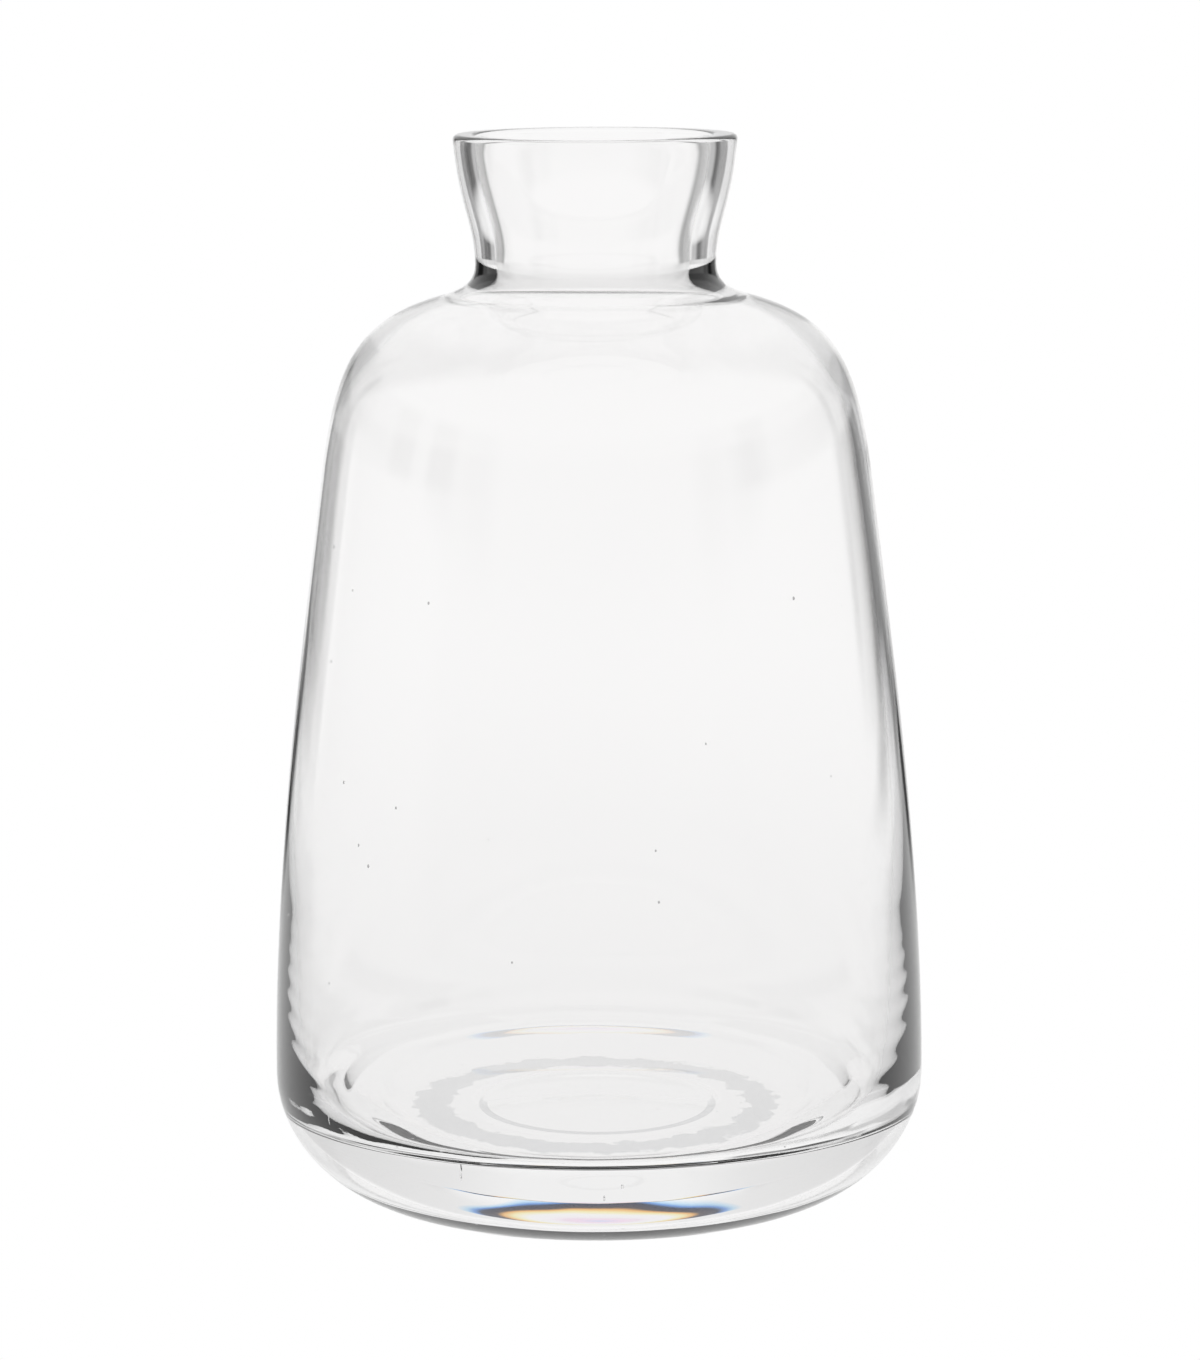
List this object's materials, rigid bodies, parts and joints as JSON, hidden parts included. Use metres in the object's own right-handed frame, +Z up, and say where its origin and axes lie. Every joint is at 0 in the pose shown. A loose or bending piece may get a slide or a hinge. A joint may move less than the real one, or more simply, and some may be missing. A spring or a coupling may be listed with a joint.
{
  "type": "glass bud vase",
  "caption": "Clear glass bud vase with a thick rounded base, gently tapered body, round shoulder and short flared neck.",
  "frame": {"origin": "centre of the foot, on the surface the vase stands on", "axes": "+Z up along the axis of turning, from the foot to the mouth; X and Y are alike, because the vase is round"},
  "size_m": [0.104, 0.104, 0.17],
  "materials": {
    "clear_glass": "fire-polished clear soda glass, colourless with a faint grey-green depth in the thick base"
  },
  "bodies": {
    "root": {"base": "clear_glass", "heel": "clear_glass", "wall": "clear_glass", "shoulder": "clear_glass", "neck": "clear_glass", "lip": "clear_glass"}
  },
  "joints": []
}
